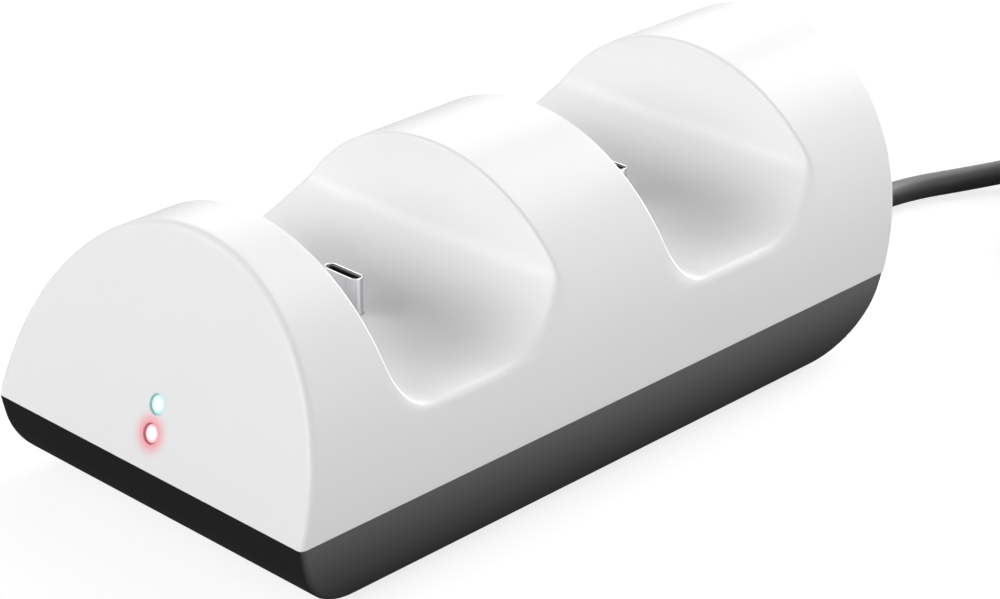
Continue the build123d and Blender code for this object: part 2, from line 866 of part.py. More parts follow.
with BuildPart() as usb_plug_body:
    with BuildSketch(usb_plane.offset(usb_neck_length)) as grip:
        RectangleRounded(usb_body_width, usb_body_height, usb_body_round)
    extrude(grip.sketch, amount=usb_body_length)
    grip_ends = usb_plug_body.edges().group_by(Axis(usb_root, usb_axis))
    fillet(grip_ends[0] + grip_ends[-1], radius=usb_end_round)
    with BuildSketch(usb_plane) as neck_tip:
        Circle(relief_tip_radius)
    with BuildSketch(usb_plane.offset(usb_neck_length)) as neck_root:
        Circle(usb_neck_radius)
    loft(Sketch() + [neck_tip.sketch, neck_root.sketch])
save("usb_plug_body", usb_plug_body.part)

usb_face = usb_plane.offset(usb_neck_length + usb_body_length)
with BuildPart() as usb_plug_shell:
    with BuildSketch(usb_face) as usb_rim:
        RectangleRounded(usb_shell_width, usb_shell_height, usb_shell_round)
        offset(amount=-usb_shell_wall, mode=Mode.SUBTRACT)
    extrude(usb_rim.sketch, amount=usb_shell_length)
    with Locations(usb_face.offset(usb_window_reach)):
        with GridLocations(usb_window_spacing, 0, 2, 1):
            Box(usb_window, 2 * usb_shell_height, usb_window, mode=Mode.SUBTRACT)
save("usb_plug_shell", usb_plug_shell.part)

with BuildPart() as usb_plug_tongue:
    with BuildSketch(usb_face) as tongue:
        with Locations((0, usb_shell_wall - usb_shell_height / 2)):
            Rectangle(
                usb_shell_width - 2 * usb_shell_round,
                usb_tongue_thickness,
                align=(Align.CENTER, Align.MIN),
            )
    extrude(tongue.sketch, amount=usb_shell_length - usb_tongue_recess)
save("usb_plug_tongue", usb_plug_tongue.part)
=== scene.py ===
import json
import logging
import math
from dataclasses import dataclass
from enum import Enum

import bmesh
import bpy
import numpy as np
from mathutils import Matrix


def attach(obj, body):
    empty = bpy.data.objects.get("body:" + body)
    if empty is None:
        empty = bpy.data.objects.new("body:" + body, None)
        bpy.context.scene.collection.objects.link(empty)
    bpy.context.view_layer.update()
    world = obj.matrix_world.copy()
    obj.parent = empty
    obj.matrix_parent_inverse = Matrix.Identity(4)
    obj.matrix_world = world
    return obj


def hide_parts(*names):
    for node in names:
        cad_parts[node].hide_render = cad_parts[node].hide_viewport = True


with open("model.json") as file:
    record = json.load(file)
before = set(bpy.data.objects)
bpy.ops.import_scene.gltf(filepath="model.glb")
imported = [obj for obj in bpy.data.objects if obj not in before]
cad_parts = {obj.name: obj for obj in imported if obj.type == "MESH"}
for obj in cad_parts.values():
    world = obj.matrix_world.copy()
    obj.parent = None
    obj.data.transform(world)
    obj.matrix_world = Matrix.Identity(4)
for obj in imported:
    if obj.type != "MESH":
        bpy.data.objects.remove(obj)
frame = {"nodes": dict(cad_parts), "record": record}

# Looks of a desk dock that charges two game controllers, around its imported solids.
# Sizes are in millimetres unless a name says otherwise. The front faces -Y.

log = logging.getLogger("dock")
MM = 0.001
BODY = "root"
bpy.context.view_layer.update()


# ---- surfaces ----


@dataclass
class Surface:
    """Points in millimetres, and the four-cornered faces between them."""

    points: np.ndarray
    faces: np.ndarray


def grid(points: np.ndarray, round_rows: bool = False, round_columns: bool = False) -> Surface:
    """Faces between the neighbours of a grid of points.

    Args:
        points: Array of rows by columns by three.
        round_rows: Whether the last row meets the first.
        round_columns: Whether the last column meets the first.

    Returns:
        The grid as a surface.
    """
    rows, columns = points.shape[:2]
    index = np.arange(rows * columns).reshape(rows, columns)
    if round_rows:
        index = np.vstack([index, index[:1]])
    if round_columns:
        index = np.hstack([index, index[:, :1]])
    corners = (index[:-1, :-1], index[:-1, 1:], index[1:, 1:], index[1:, :-1])
    return Surface(points.reshape(-1, 3), np.stack(corners, -1).reshape(-1, 4))


def joined(*surfaces: Surface) -> Surface:
    """Several surfaces as one, each keeping its own points."""
    starts = np.cumsum([0] + [len(s.points) for s in surfaces[:-1]])
    faces = [s.faces + start for s, start in zip(surfaces, starts)]
    return Surface(np.concatenate([s.points for s in surfaces]), np.concatenate(faces))


def to_piece(name: str, surface: Surface, sharp: float = 38.0) -> bpy.types.Object:
    """Mesh object of a closed surface, with doubles merged and faces turned outwards.

    Args:
        name: Name of the piece.
        surface: Its surface, in millimetres.
        sharp: Angle in degrees past which an edge stays sharp.

    Returns:
        The linked object, at the origin.
    """
    mesh = bpy.data.meshes.new(name)
    mesh.from_pydata((surface.points * MM).tolist(), [], surface.faces.tolist())
    edit = bmesh.new()
    edit.from_mesh(mesh)
    bmesh.ops.remove_doubles(edit, verts=edit.verts, dist=1e-6)
    bmesh.ops.dissolve_degenerate(edit, dist=1e-7, edges=edit.edges)
    bmesh.ops.recalc_face_normals(edit, faces=edit.faces)
    edit.to_mesh(mesh)
    edit.free()
    mesh.shade_smooth()
    mesh.set_sharp_from_angle(angle=math.radians(sharp))
    piece = bpy.data.objects.new(name, mesh)
    bpy.context.scene.collection.objects.link(piece)
    return piece


def cut_away(piece: bpy.types.Object, cutters: list[bpy.types.Object], sharp: float = 38.0) -> None:
    """Take closed cutters out of a piece and remove them.

    Args:
        piece: The piece that is cut.
        cutters: Closed meshes, which are deleted.
        sharp: Angle in degrees past which an edge stays sharp.
    """
    for cutter in cutters:
        cut = piece.modifiers.new(cutter.name, "BOOLEAN")
        cut.operation = "DIFFERENCE"
        cut.solver = "EXACT"
        cut.object = cutter
    evaluated = piece.evaluated_get(bpy.context.evaluated_depsgraph_get())
    mesh = bpy.data.meshes.new_from_object(evaluated)
    mesh.name = piece.name
    piece.modifiers.clear()
    piece.data = mesh
    mesh.shade_smooth()
    mesh.set_sharp_from_angle(angle=math.radians(sharp))
    for cutter in cutters:
        bpy.data.objects.remove(cutter)


def stadium(length: float, thickness: float, arc_points: int = 20) -> np.ndarray:
    """Round-ended outline about the origin, as points of X and Y.

    Two half circles of half the thickness, carried out to the ends of the length.

    Args:
        length: Overall length along X.
        thickness: Overall thickness along Y.
        arc_points: Points on each round end.

    Returns:
        Array of points by two, anticlockwise.
    """
    radius = thickness / 2
    turn = np.linspace(-math.pi / 2, math.pi / 2, arc_points)
    right = np.stack([length / 2 - radius + radius * np.cos(turn), radius * np.sin(turn)], -1)
    return np.concatenate([right, -right])


# ---- finishes ----


class Pattern(Enum):
    """Kind of small-scale surface that a finish shows."""

    GRAIN = "grain"
    DRAWN = "drawn"
    TRACKS = "tracks"


class Nodes:
    """Short way to add and link the nodes of one tree."""

    def __init__(self, tree: bpy.types.NodeTree) -> None:
        """Keep the tree."""
        self.tree = tree

    def add(self, kind: str, values: dict | None = None, **settings) -> bpy.types.Node:
        """Add a node.

        Args:
            kind: Blender's name of the node type.
            values: Input sockets to set or link, by name or number.
            **settings: Properties of the node itself.

        Returns:
            The new node.
        """
        node = self.tree.nodes.new(kind)
        for key, value in settings.items():
            setattr(node, key, value)
        for key, value in (values or {}).items():
            if isinstance(value, bpy.types.NodeSocket):
                self.tree.links.new(value, node.inputs[key])
            else:
                node.inputs[key].default_value = value
        return node

    def mix(
        self,
        share: bpy.types.NodeSocket | float,
        first: bpy.types.NodeSocket | tuple,
        second: bpy.types.NodeSocket | tuple,
    ) -> bpy.types.NodeSocket:
        """Colour between two others; each may be a colour or a socket."""
        node = self.add("ShaderNodeMix", data_type="RGBA")
        for number, value in ((0, share), (6, first), (7, second)):
            if isinstance(value, bpy.types.NodeSocket):
                self.tree.links.new(value, node.inputs[number])
            else:
                node.inputs[number].default_value = value
        return node.outputs[2]

    def math(
        self, operation: str, first: bpy.types.NodeSocket | float, second: bpy.types.NodeSocket | float = 0.0
    ) -> bpy.types.NodeSocket:
        """Result of one sum; each term may be a number or a socket."""
        return self.add("ShaderNodeMath", {0: first, 1: second}, operation=operation).outputs[0]

    def spread(self, value: bpy.types.NodeSocket, low: float, high: float) -> bpy.types.NodeSocket:
        """A value of 0 to 1 spread between two limits."""
        return self.add("ShaderNodeMapRange", {"Value": value, 3: low, 4: high}).outputs[0]


def new_group(
    name: str, inputs: dict[str, str], outputs: dict[str, str]
) -> tuple[bpy.types.NodeTree, Nodes, dict, dict]:
    """Empty shader group with named sockets.

    Args:
        name: Name of the group.
        inputs: Socket types by input name.
        outputs: Socket types by output name.

    Returns:
        The tree, its node helper, the inside input sockets and the inside output sockets.
    """
    tree = bpy.data.node_groups.new(name, "ShaderNodeTree")
    for label, kind in inputs.items():
        tree.interface.new_socket(label, in_out="INPUT", socket_type=kind)
    for label, kind in outputs.items():
        tree.interface.new_socket(label, in_out="OUTPUT", socket_type=kind)
    nodes = Nodes(tree)
    start = nodes.add("NodeGroupInput")
    end = nodes.add("NodeGroupOutput")
    return tree, nodes, start.outputs, end.inputs


class Effects:
    """Shader groups that the finishes share."""

    def __init__(self) -> None:
        """Build each group once."""
        self.grain = self._grain()
        self.drawn = self._drawn()
        self.tracks = self._tracks()
        self.painted_glow = self._painted_glow()

    def of(self, pattern: Pattern) -> bpy.types.NodeTree:
        """Group that draws a pattern."""
        return {Pattern.GRAIN: self.grain, Pattern.DRAWN: self.drawn, Pattern.TRACKS: self.tracks}[pattern]

    @staticmethod
    def _grain() -> bpy.types.NodeTree:
        """Spark-eroded mould grain: fine pebbles over a slow, faint mottle."""
        tree, nodes, given, result = new_group(
            "moulded_grain",
            {"Vector": "NodeSocketVector", "Fineness": "NodeSocketFloat"},
            {"Tone": "NodeSocketFloat", "Gloss": "NodeSocketFloat", "Height": "NodeSocketFloat"},
        )
        broad = nodes.add("ShaderNodeTexNoise", {"Vector": given["Vector"], "Scale": 28.0, "Detail": 3.0})
        fine = nodes.add(
            "ShaderNodeTexNoise", {"Vector": given["Vector"], "Scale": given["Fineness"], "Detail": 3.0}
        )
        pebble = nodes.add("ShaderNodeTexVoronoi", {"Vector": given["Vector"], "Scale": given["Fineness"]})
        height = nodes.math("MULTIPLY_ADD", pebble.outputs["Distance"], 0.5)
        tree.links.new(fine.outputs[0], height.node.inputs[2])
        tree.links.new(broad.outputs[0], result["Tone"])
        tree.links.new(nodes.math("MULTIPLY", fine.outputs[0], broad.outputs[0]), result["Gloss"])
        tree.links.new(height, result["Height"])
        return tree

    @staticmethod
    def _drawn() -> bpy.types.NodeTree:
        """Fine lines along Z, as a die leaves on drawn metal."""
        tree, nodes, given, result = new_group(
            "drawn_lines",
            {"Vector": "NodeSocketVector", "Fineness": "NodeSocketFloat"},
            {"Tone": "NodeSocketFloat", "Gloss": "NodeSocketFloat", "Height": "NodeSocketFloat"},
        )
        drawn = nodes.add("ShaderNodeMapping", {"Vector": given["Vector"], "Scale": (1.0, 1.0, 0.03)})
        lines = nodes.add(
            "ShaderNodeTexNoise", {"Vector": drawn.outputs[0], "Scale": given["Fineness"], "Detail": 4.0}
        )
        broad = nodes.add("ShaderNodeTexNoise", {"Vector": given["Vector"], "Scale": 320.0, "Detail": 2.0})
        tree.links.new(broad.outputs[0], result["Tone"])
        tree.links.new(lines.outputs[0], result["Gloss"])
        tree.links.new(lines.outputs[0], result["Height"])
        return tree

    @staticmethod
    def _tracks() -> bpy.types.NodeTree:
        """Raised tracks under a board's lacquer."""
        tree, nodes, given, result = new_group(
            "board_tracks",
            {"Vector": "NodeSocketVector", "Fineness": "NodeSocketFloat"},
            {"Tone": "NodeSocketFloat", "Gloss": "NodeSocketFloat", "Height": "NodeSocketFloat"},
        )
        cells = nodes.add(
            "ShaderNodeTexVoronoi",
            {"Vector": given["Vector"], "Scale": given["Fineness"]},
            distance="CHEBYCHEV",
        )
        edge = nodes.add("ShaderNodeValToRGB", {"Fac": cells.outputs["Distance"]})
        edge.color_ramp.elements[0].position = 0.42
        edge.color_ramp.elements[1].position = 0.5
        noise = nodes.add("ShaderNodeTexNoise", {"Vector": given["Vector"], "Scale": 900.0, "Detail": 2.0})
        tree.links.new(edge.outputs[0], result["Tone"])
        tree.links.new(noise.outputs[0], result["Gloss"])
        tree.links.new(edge.outputs[0], result["Height"])
        return tree

    @staticmethod
    def _painted_glow() -> bpy.types.NodeTree:
        """Share of painted light at a point round a light: 1 inside a radius, falling to 0 at a reach; it
        masks the painted glow round the lights and the bands of their lenses.
        """
        tree, nodes, given, result = new_group(
            "painted_light_falloff",
            {
                "Vector": "NodeSocketVector",
                "Centre": "NodeSocketVector",
                "Radius": "NodeSocketFloat",
                "Reach": "NodeSocketFloat",
            },
            {"Share": "NodeSocketFloat"},
        )
        away = nodes.add(
            "ShaderNodeVectorMath", {0: given["Vector"], 1: given["Centre"]}, operation="DISTANCE"
        )
        falling = nodes.add(
            "ShaderNodeMapRange",
            {"Value": away.outputs["Value"], 1: given["Radius"], 2: given["Reach"], 3: 1.0, 4: 0.0},
            interpolation_type="SMOOTHSTEP",
        )
        tree.links.new(falling.outputs[0], result["Share"])
        return tree


Colour = tuple[float, float, float]


def opaque(colour: Colour) -> tuple[float, float, float, float]:
    """A colour with full cover."""
    return (*colour, 1.0)


def grey(tone: float) -> tuple[float, float, float, float]:
    """An even grey with full cover."""
    return opaque((tone, tone, tone))


@dataclass(frozen=True)
class PaintedGlow:
    """Painted glow: colour mixed into a surface's base colour round a light, standing in for the light that
    it casts there.
    """

    centre: tuple[float, float, float]
    radius: float
    reach: float
    glow_colour: Colour
    share: float


@dataclass(frozen=True)
class Finish:
    """A surface finish: two close tints, a gloss range and a small-scale pattern."""

    name: str
    light: Colour
    dark: Colour
    gloss: tuple[float, float]
    fineness: float = 3200.0
    bump: float = 0.06
    relief: float = 0.02
    pattern: Pattern = Pattern.GRAIN
    metal: float = 0.0
    specular: float = 0.5
    coat: float = 0.0
    # Painted glows of nearby lights, mixed into the base colour.
    painted_glows: tuple[PaintedGlow, ...] = ()

    def material(self, effects: Effects) -> bpy.types.Material:
        """Node material of this finish.

        Args:
            effects: The shared shader groups.

        Returns:
            A new material.
        """
        material = bpy.data.materials.new(self.name)
        material.use_nodes = True
        nodes = Nodes(material.node_tree)
        shader = material.node_tree.nodes["Principled BSDF"]
        place = nodes.add("ShaderNodeTexCoord").outputs["Object"]
        surface = nodes.add("ShaderNodeGroup", node_tree=effects.of(self.pattern))
        material.node_tree.links.new(place, surface.inputs["Vector"])
        surface.inputs["Fineness"].default_value = self.fineness
        colour = nodes.mix(surface.outputs["Tone"], opaque(self.dark), opaque(self.light))
        # Painted light: each light's glow is mixed into the base colour, falling off with distance from the
        # light.
        for painted_glow in self.painted_glows:
            reach = nodes.add(
                "ShaderNodeGroup",
                {
                    "Vector": place,
                    "Centre": tuple(c * MM for c in painted_glow.centre),
                    "Radius": painted_glow.radius * MM,
                    "Reach": painted_glow.reach * MM,
                },
                node_tree=effects.painted_glow,
            )
            share = nodes.math("MULTIPLY", nodes.math("POWER", reach.outputs[0], 2.0), painted_glow.share)
            colour = nodes.mix(share, colour, opaque(painted_glow.glow_colour))
        gloss = nodes.spread(surface.outputs["Gloss"], *self.gloss)
        bump = nodes.add(
            "ShaderNodeBump",
            {"Strength": self.bump, "Distance": self.relief * MM, "Height": surface.outputs["Height"]},
        )
        links = material.node_tree.links
        links.new(colour, shader.inputs["Base Color"])
        links.new(gloss, shader.inputs["Roughness"])
        links.new(bump.outputs[0], shader.inputs["Normal"])
        shader.inputs["Metallic"].default_value = self.metal
        shader.inputs["Specular IOR Level"].default_value = self.specular
        shader.inputs["Coat Weight"].default_value = self.coat
        shader.inputs["Coat Roughness"].default_value = 0.12
        return material


@dataclass(frozen=True)
class LensFinish:
    """A lit lens: a bright middle, a tinted edge and a dark rim of painted shade from its hole wall, by
    distance from its axis.
    """

    name: str
    centre: tuple[float, float, float]
    middle: Colour
    edge: Colour
    rim: Colour
    middle_radius: float
    edge_radius: float
    shaded_rim_radius: float

    def material(self, effects: Effects) -> bpy.types.Material:
        """Node material of the lens.

        Args:
            effects: The shared shader groups.

        Returns:
            A new material.
        """
        material = bpy.data.materials.new(self.name)
        material.use_nodes = True
        nodes = Nodes(material.node_tree)
        links = material.node_tree.links
        shader = material.node_tree.nodes["Principled BSDF"]
        place = nodes.add("ShaderNodeTexCoord").outputs["Object"]
        shares = []
        for radius, reach in ((self.middle_radius, self.edge_radius), (self.edge_radius, self.shaded_rim_radius)):
            band = nodes.add(
                "ShaderNodeGroup",
                {
                    "Vector": place,
                    "Centre": tuple(c * MM for c in self.centre),
                    "Radius": radius * MM,
                    "Reach": reach * MM,
                },
                node_tree=effects.painted_glow,
            )
            shares.append(band.outputs[0])
        # The rim colour is painted shade of the hole wall, mixed into the lens's glow and base colour.
        edge = nodes.mix(shares[1], opaque(self.rim), opaque(self.edge))
        colour = nodes.mix(shares[0], edge, opaque(self.middle))
        frost = nodes.add("ShaderNodeGroup", {"Vector": place, "Fineness": 5200.0}, node_tree=effects.grain)
        links.new(nodes.mix(0.85, colour, opaque((0.0, 0.0, 0.0))), shader.inputs["Base Color"])
        links.new(colour, shader.inputs["Emission Color"])
        links.new(nodes.spread(frost.outputs["Gloss"], 0.12, 0.3), shader.inputs["Roughness"])
        shader.inputs["Emission Strength"].default_value = 0.9
        return material


# ---- the moulded shell ----


@dataclass(frozen=True)
class Softness:
    """Rounding of the shell's rims, by the surface that meets the arch."""

    front: float = 1.0
    rear: float = 0.5
    near_wall: float = 0.45
    far_wall: float = 0.8
    floor: float = 1.25


@dataclass(frozen=True)
class ShellForm:
    """Arch across the dock, cut by a side view with leaning ends and two pockets.

    Heights here are over the seam. A wall sets every surface in by the same amount.
    """

    softness: Softness = Softness()
    wall: float = 0.0
    width: float = 75.0
    seam_z: float = 14.7
    front_y: float = -77.1137
    seam_length: float = 141.3
    lean_degrees: float = 19.3
    pocket_starts: tuple[float, float] = (24.2, 88.5)
    pocket_span: float = 39.6
    pocket_floor: float = 13.5
    pocket_corner: float = 7.2
    ramp_start: float = 30.0
    ramp_degrees: float = 43.0
    ramp_round: float = 22.0
    scoop_round: float = 4.0

    @property
    def lean(self) -> float:
        """Run back for each unit of rise of the leaning faces."""
        return math.tan(math.radians(self.lean_degrees))

    @property
    def set_in(self) -> float:
        """The wall as it shows along Y on a leaning face."""
        return self.wall / math.cos(math.radians(self.lean_degrees))

    @property
    def radius(self) -> float:
        """Radius of the arch."""
        return self.width / 2 - self.wall

    @property
    def floor(self) -> float:
        """Height of the pocket floors."""
        return self.pocket_floor - self.wall

    @property
    def turns(self) -> np.ndarray:
        """Directions between which a pocket's three arcs run, from straight back to straight forward."""
        return np.radians([180.0, 270.0, 270.0 + self.ramp_degrees, 360.0])

    def arcs(self, start: float) -> np.ndarray:
        """Arcs of one pocket's side view: near wall to floor, floor to ramp, and ramp to far wall.

        Each arc touches its two neighbours. The last one's centre stands its radius off the far wall and,
        square to the ramp, its radius off the ramp.

        Args:
            start: Distance of the near wall from the front, along the seam.

        Returns:
            For each arc the place of its centre along Y, the height of its centre, and its radius.
        """
        near = self.front_y + start
        slope = math.radians(self.ramp_degrees)
        bend = self.ramp_start - self.ramp_round * math.tan(slope / 2)
        scoop = self.pocket_span - self.scoop_round
        rise = math.tan(slope) * (scoop - self.ramp_start) + self.scoop_round / math.cos(slope)
        outer = [
            [near + self.pocket_corner, self.pocket_floor + self.pocket_corner, self.pocket_corner],
            [near + bend, self.pocket_floor + self.ramp_round, self.ramp_round],
            [near + scoop, self.pocket_floor + rise, self.scoop_round],
        ]
        return np.array(outer) + [0.0, 0.0, self.wall]

    def side_view(self, y: np.ndarray, h: np.ndarray) -> tuple[np.ndarray, np.ndarray]:
        """Distance outside the side view, and the rim softness of its nearest surface.

        The ends are planes. A pocket is four planes joined by arcs; between an arc's two ends the distance is
        measured from its centre. The softness goes by the nearest surface's normal.

        Args:
            y: Places along the dock.
            h: Heights over the seam.

        Returns:
            The signed distances and the softness.
        """
        soft = self.softness
        c, s = math.cos(math.radians(self.lean_degrees)), math.sin(math.radians(self.lean_degrees))
        rear_y = self.front_y + self.seam_length - self.set_in
        best = -(y - self.front_y - self.set_in) * c + h * s
        round_by = np.full_like(best, soft.front)
        rear = (y - rear_y) * c - h * s
        round_by = np.where(rear > best, soft.rear, round_by)
        best = np.maximum(best, rear)
        turns = self.turns
        for start in self.pocket_starts:
            arcs = self.arcs(start)
            planes = np.stack([
                (y - arc_y) * math.cos(turn) + (h - arc_h) * math.sin(turn) - arc
                for (arc_y, arc_h, arc), turn in zip(arcs[[0, 0, 1, 2]], turns)
            ])
            first = planes.argmax(0)
            distance = planes.max(0)
            ny, nh = -np.cos(turns)[first], -np.sin(turns)[first]
            for (arc_y, arc_h, arc), low, high in zip(arcs, turns[:-1], turns[1:]):
                dy, dh = y - arc_y, h - arc_h
                reach = np.hypot(dy, dh) + 1e-9
                past_low = dh * math.cos(low) > dy * math.sin(low)
                inside = past_low & (dh * math.cos(high) < dy * math.sin(high))
                distance = np.where(inside, reach - arc, distance)
                ny = np.where(inside, -dy / reach, ny)
                nh = np.where(inside, -dh / reach, nh)
            wanted = (
                soft.floor * nh**2
                + soft.near_wall * np.maximum(ny, 0) ** 2
                + soft.far_wall * np.maximum(-ny, 0) ** 2
            )
            round_by = np.where(-distance > best, wanted, round_by)
            best = np.maximum(best, -distance)
        return best, round_by

    def outside(self, p: np.ndarray) -> np.ndarray:
        """Distance outside the softened form: the arch and the side view meet in a rounded rim."""
        h = p[..., 2] - self.seam_z
        arch = np.hypot(p[..., 0], h) - self.radius
        side, r = self.side_view(p[..., 1], h)
        meet = np.hypot(np.maximum(arch + r, 0), np.maximum(side + r, 0))
        return np.minimum(np.maximum(arch, side), -r) + meet

    def settled(self, points: np.ndarray, steps: int = 6) -> np.ndarray:
        """Points of the sharp form moved onto the softened one, those at the seam staying at its height.

        Args:
            points: Array of slices by places by three.
            steps: Number of Newton steps along the slope of the distance.

        Returns:
            The moved points.
        """
        p = points.copy()
        level = np.zeros(p.shape[:2], bool)
        level[[0, -1], :] = True
        level[:, [0, -1]] = True
        small = 1e-3
        for _ in range(steps):
            slope = np.stack(
                [self.outside(p + small * axis) - self.outside(p - small * axis) for axis in np.eye(3)], -1
            ) / (2 * small)
            slope[level, 2] = 0.0
            p -= self.outside(p)[..., None] * slope / np.maximum((slope**2).sum(-1), 0.2)[..., None]
        return p

    @staticmethod
    def marks(length: np.ndarray, first: float, last: float, middle: int) -> np.ndarray:
        """Places along stretches of a given length, close together near both ends.

        Args:
            length: Length of each stretch.
            first: Softness of the rim at the start.
            last: Softness of the rim at the end.
            middle: Number of even places between.

        Returns:
            Array of stretches by places.
        """
        near = np.array([0.0, 0.14, 0.28, 0.44, 0.6, 0.8, 1.05, 1.4])
        start = near * np.minimum(first, 0.3 * length)[:, None]
        end = length[:, None] - (near * np.minimum(last, 0.3 * length)[:, None])[:, ::-1]
        share = np.arange(1, middle + 1) / (middle + 1)
        between = start[:, -1:] + (end[:, :1] - start[:, -1:]) * share
        return np.concatenate([start, between, end], 1)

    def slices(self) -> np.ndarray:
        """Angles from the arch's top of the slices across the dock, close together at the floors' rims."""
        rim = math.degrees(math.acos(self.floor / self.radius))
        half = np.concatenate([
            np.linspace(0.0, rim - 18, 21, endpoint=False),
            np.linspace(rim - 18, rim - 5, 13, endpoint=False),
            np.linspace(rim - 5, rim + 6, 26, endpoint=False),
            np.linspace(rim + 6, 90.0, 9),
        ])
        return np.radians(np.concatenate([-half[:0:-1], half]))

    def pocket_line(self, start: float, arch: np.ndarray, middle: int) -> np.ndarray:
        """Places along one pocket in each slice, from its near rim to its far rim.

        The side view is drawn once as close points on its arcs, with straight runs between them. Each slice
        takes the stretch of it that lies under the arch there.

        Args:
            start: Distance of the near wall from the front, along the seam.
            arch: Height of the arch in each slice.
            middle: Number of even places between the rims.

        Returns:
            Array of slices by places by two, for Y and the height over the seam.
        """
        count = 60
        arcs = self.arcs(start)
        sweep = np.linspace(self.turns[:-1], self.turns[1:], count).T
        arc_y = arcs[:, :1] + arcs[:, 2:] * np.cos(sweep)
        arc_h = arcs[:, 1:2] + arcs[:, 2:] * np.sin(sweep)
        y = np.concatenate([arc_y[0, :1], arc_y.ravel(), arc_y[2, -1:]])
        h = np.concatenate([[self.radius], arc_h.ravel(), [self.radius]])
        run = np.concatenate([[0.0], np.hypot(np.diff(y), np.diff(h)).cumsum()])
        top = np.maximum(arch, self.floor)
        first = np.interp(top, h[count::-1], run[count::-1])
        last = np.interp(top, h[count + 1:], run[count + 1:])
        place = first[:, None] + self.marks(
            last - first, self.softness.near_wall, self.softness.floor, middle
        )
        height = np.minimum(np.interp(place, run, h), np.maximum(arch, 0)[:, None])
        return np.stack([np.interp(place, run, y), height], -1)

    def skin(self) -> np.ndarray:
        """Points of the whole form, slice by slice across the dock.

        Each slice runs up the front face, over the arch, down and up through both pockets, and down the
        rear face. The sharp points are then settled onto the softened form.

        Returns:
            Array of slices by places by three.
        """
        turn = self.slices()
        arch = self.radius * np.cos(turn)
        arch[[0, -1]] = 0.0
        rear_y = self.front_y + self.seam_length - self.set_in
        slant = math.hypot(1.0, self.lean)
        soft = self.softness
        up = self.marks(arch * slant, 0.3, soft.front, 14) / slant
        front = np.stack([self.front_y + self.set_in + self.lean * up, up], -1)
        pockets = [self.pocket_line(start, arch, 74) for start in self.pocket_starts]
        ends = [
            front[:, -1, 0],
            pockets[0][:, 0, 0],
            pockets[0][:, -1, 0],
            pockets[1][:, 0, 0],
            pockets[1][:, -1, 0],
        ]
        ends.append(rear_y + self.lean * arch)
        softs = [soft.front, soft.near_wall, soft.far_wall, soft.near_wall, soft.far_wall, soft.rear]
        lobes = []
        for k in (0, 2, 4):
            along = ends[k][:, None] + self.marks(ends[k + 1] - ends[k], softs[k], softs[k + 1], 10)
            lobes.append(np.stack([along, np.broadcast_to(arch[:, None], along.shape)], -1))
        down = self.marks(arch * slant, 0.3, soft.rear, 14)[:, ::-1] / slant
        rear = np.stack([rear_y + self.lean * down, down], -1)
        line = np.concatenate([front, lobes[0], pockets[0], lobes[1], pockets[1], lobes[2], rear], 1)
        x = np.broadcast_to((self.radius * np.sin(turn))[:, None], line.shape[:2])
        points = np.stack([x, line[..., 0], line[..., 1] + self.seam_z], -1)
        return self.settled(points)


